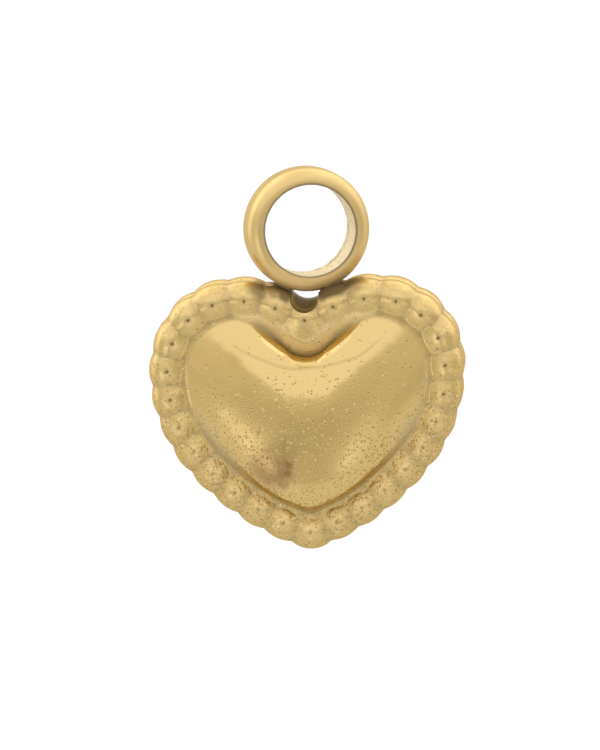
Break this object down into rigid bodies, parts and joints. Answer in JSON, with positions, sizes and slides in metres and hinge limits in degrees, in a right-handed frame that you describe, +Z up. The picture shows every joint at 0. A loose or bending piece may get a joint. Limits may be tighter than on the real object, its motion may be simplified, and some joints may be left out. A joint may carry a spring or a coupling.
{
  "type": "heart charm",
  "caption": "Puffed heart charm with a scalloped bead border on both faces and a short plain hanging ring in the cleft, cast as one piece.",
  "frame": {"origin": "middle of the hanging ring's bore", "axes": "+Z up as the charm hangs, front of the heart towards -Y, +X to the right seen from the front"},
  "size_m": [0.012, 0.0044, 0.0146],
  "materials": {
    "gold_tone": "polished ring, fine cast pits on the heart"
  },
  "bodies": {
    "root": {"heart_charm": "gold_tone"}
  },
  "joints": []
}
